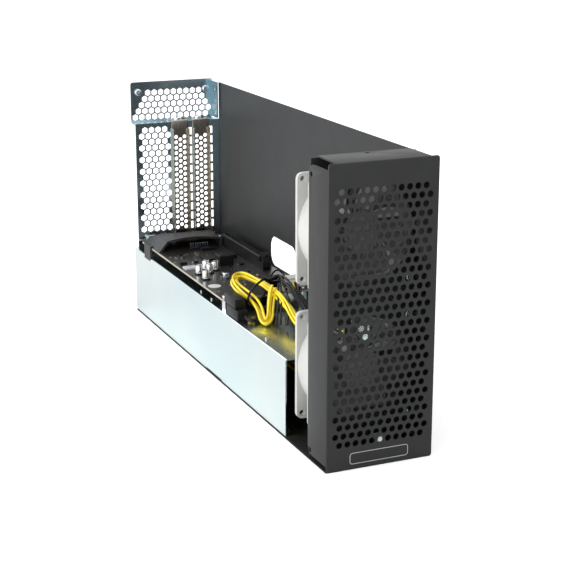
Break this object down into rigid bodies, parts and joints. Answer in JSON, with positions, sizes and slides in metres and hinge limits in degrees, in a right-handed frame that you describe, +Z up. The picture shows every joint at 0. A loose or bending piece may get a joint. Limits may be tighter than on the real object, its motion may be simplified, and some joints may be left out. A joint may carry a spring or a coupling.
{
  "type": "external graphics card enclosure",
  "caption": "Desktop enclosure for one graphics card with its outer cover off: perforated front, two front fans, plated tray with board and power supply, open card bay.",
  "frame": {"origin": "middle of the footprint, on the surface it stands on", "axes": "+Z up, +X to the right seen from the front, +Y from the front panel to the rear"},
  "size_m": [0.0826, 0.426, 0.216],
  "materials": {
    "black_paint": "fine-textured matt powder coat",
    "zinc_plate": "bright blue-white zinc plating",
    "bracket_steel": "plain stainless",
    "supply_steel": "galvanised sheet",
    "screw_steel": "bright zinc",
    "fan_plastic": "satin",
    "rotor_plastic": "satin",
    "black_plastic": "satin",
    "hood_plastic": "fine matt texture",
    "pale_plastic": "satin",
    "light_plastic": "clear gloss",
    "board_laminate": "glossy solder mask",
    "can_aluminium": "bright",
    "yellow_wire": "satin",
    "black_wire": "satin",
    "black_rubber": "matt"
  },
  "bodies": {
    "case": {"front_bezel": "black_paint", "base_shell": "black_paint", "tray": "zinc_plate", "rear_panel": "zinc_plate", "slot_cover_left": "bracket_steel", "slot_cover_right": "bracket_steel", "fan_plate": "black_paint", "cover_nuts": "screw_steel", "upper_fan_frame": "fan_plastic", "lower_fan_frame": "fan_plastic", "fan_screws": "screw_steel", "plate_screws": "screw_steel", "bracket_screws": "screw_steel", "supply_case": "supply_steel", "supply_fan_frame": "black_plastic", "supply_screws": "screw_steel", "mains_inlet": "black_plastic", "main_board": "board_laminate", "board_standoffs": "screw_steel", "board_screws": "screw_steel", "card_slot": "black_plastic", "controller_block": "black_plastic", "board_chips": "black_plastic", "can_capacitors": "can_aluminium", "rear_ports": "screw_steel", "board_socket": "pale_plastic", "port_hood": "hood_plastic", "light_pipe": "light_plastic", "cable_gland": "black_rubber", "yellow_lead": "yellow_wire", "black_lead": "black_wire", "board_lead": "black_wire", "plug_lead": "black_wire", "card_plugs": "black_plastic", "black_plug": "black_plastic", "board_plug": "pale_plastic", "hank_tie": "black_rubber"},
    "upper_fan": {"upper_fan_rotor": "rotor_plastic"},
    "lower_fan": {"lower_fan_rotor": "rotor_plastic"},
    "supply_fan": {"supply_fan_rotor": "rotor_plastic"},
    "latch": {"slot_latch": "black_plastic"}
  },
  "joints": [
    {"name": "upper_fan_spin", "type": "hinge", "parent": "case", "child": "upper_fan", "pos_m": [-0.00005, -0.17, 0.1605], "axis": [0, 1, 0], "continuous": true},
    {"name": "lower_fan_spin", "type": "hinge", "parent": "case", "child": "lower_fan", "pos_m": [-0.00005, -0.17, 0.0615], "axis": [0, 1, 0], "continuous": true},
    {"name": "supply_fan_spin", "type": "hinge", "parent": "case", "child": "supply_fan", "pos_m": [0.01075, 0.205, 0.0305], "axis": [0, 1, 0], "continuous": true},
    {"name": "latch_tilt", "type": "hinge", "parent": "case", "child": "latch", "pos_m": [0.02725, 0.0588, 0.074], "axis": [1, 0, 0], "range_deg": [0, 35]}
  ]
}
